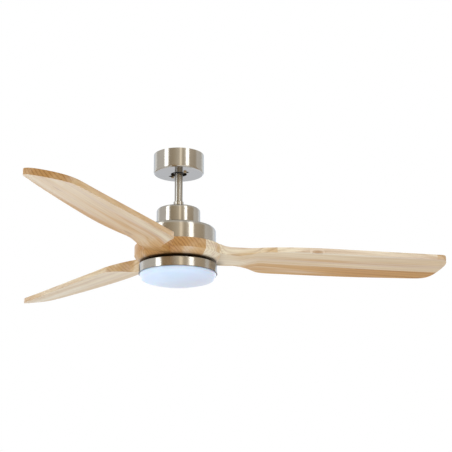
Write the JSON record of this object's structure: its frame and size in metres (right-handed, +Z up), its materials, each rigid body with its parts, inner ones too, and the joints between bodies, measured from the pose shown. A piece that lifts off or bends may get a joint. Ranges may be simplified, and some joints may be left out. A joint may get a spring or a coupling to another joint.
{
  "type": "ceiling_fan",
  "caption": "Ceiling fan with carved pale wood blades that meet as the hub, a satin nickel motor and downrod, and a round opal light below.",
  "frame": {"origin": "On the ceiling plane, on the fan's vertical axis, midway between the bracket's two slots.", "axes": "+Z points up into the ceiling, +X runs along the line of the bracket's two slots, +Y completes a right-handed frame and points away from the canopy screw nearer the viewer."},
  "size_m": [1.1676, 1.2447, 0.349],
  "materials": {
    "blade_wood": "satin clear finish over pale straight-grained timber, with darker streaks along the blade",
    "brushed_nickel": "satin nickel plate, brushed round the axis, slightly warm grey",
    "black_nylon": "moulded black plastic, light sheen",
    "black_steel": "pressed steel, painted matt black",
    "zinc_steel": "bright zinc-plated steel",
    "brass_screw": "yellow passivated screws",
    "green_screw": "green earth screw",
    "terminal_plastic": "natural white terminal block",
    "cast_aluminium": "die-cast and turned aluminium",
    "stator_steel": "stacked electrical steel sheets",
    "coil_copper": "enamelled copper windings",
    "magnet_grey": "dark ferrite arcs",
    "board_green": "circuit board",
    "capacitor_black": "sleeved electrolytic capacitors",
    "board_white": "white-masked circuit board",
    "led_phosphor": "yellow phosphor on small LED packages",
    "driver_case": "white moulded case",
    "opal_acrylic": "opal white acrylic, unlit, softly glossy"
  },
  "bodies": {
    "ceiling_mount": {"hanger_bracket": "black_steel", "canopy": "brushed_nickel", "canopy_screws": "brass_screw", "receiver": "black_nylon", "terminal_block": "terminal_plastic", "earth_screw": "green_screw"},
    "hanging_body": {"hanger_ball": "black_nylon", "ball_pin": "zinc_steel", "ball_set_screw": "zinc_steel", "downrod": "brushed_nickel", "rod_collar": "brushed_nickel", "collar_set_screw": "zinc_steel", "coupling_cover": "brushed_nickel", "motor_coupling": "zinc_steel", "coupling_pin": "zinc_steel", "cotter_clip": "zinc_steel", "coupling_set_screws": "zinc_steel", "coupling_bolts": "zinc_steel", "motor_housing": "brushed_nickel", "motor_shaft": "zinc_steel", "stator_carrier": "cast_aluminium", "stator_core": "stator_steel", "stator_coils": "coil_copper", "driver_board": "board_green", "driver_capacitors": "capacitor_black", "bearing_inner_rings": "zinc_steel", "light_pan": "brushed_nickel", "light_pan_nut": "zinc_steel", "led_plate": "cast_aluminium", "led_plate_screws": "zinc_steel", "led_board": "board_white", "led_chips": "led_phosphor", "led_driver": "driver_case"},
    "rotor": {"rotor_lower_shell": "cast_aluminium", "rotor_upper_shell": "cast_aluminium", "rotor_shell_screws": "zinc_steel", "rotor_magnets": "magnet_grey", "bearing_outer_rings": "zinc_steel", "blade_1": "blade_wood", "blade_2": "blade_wood", "blade_3": "blade_wood", "blade_clamp_ring": "zinc_steel", "blade_screws": "zinc_steel"},
    "diffuser_cap": {"diffuser": "opal_acrylic"}
  },
  "joints": [
    {"name": "hanger_tilt", "type": "hinge", "parent": "ceiling_mount", "child": "hanging_body", "pos_m": [0, 0, -0.028], "axis": [0, 1, 0], "range_deg": [-15, 15]},
    {"name": "rotor_spin", "type": "hinge", "parent": "hanging_body", "child": "rotor", "pos_m": [0, 0, -0.269], "axis": [0, 0, 1], "continuous": true},
    {"name": "diffuser_twist", "type": "hinge", "parent": "hanging_body", "child": "diffuser_cap", "pos_m": [0, 0, -0.315], "axis": [0, 0, 1], "range_deg": [0, 15]}
  ]
}
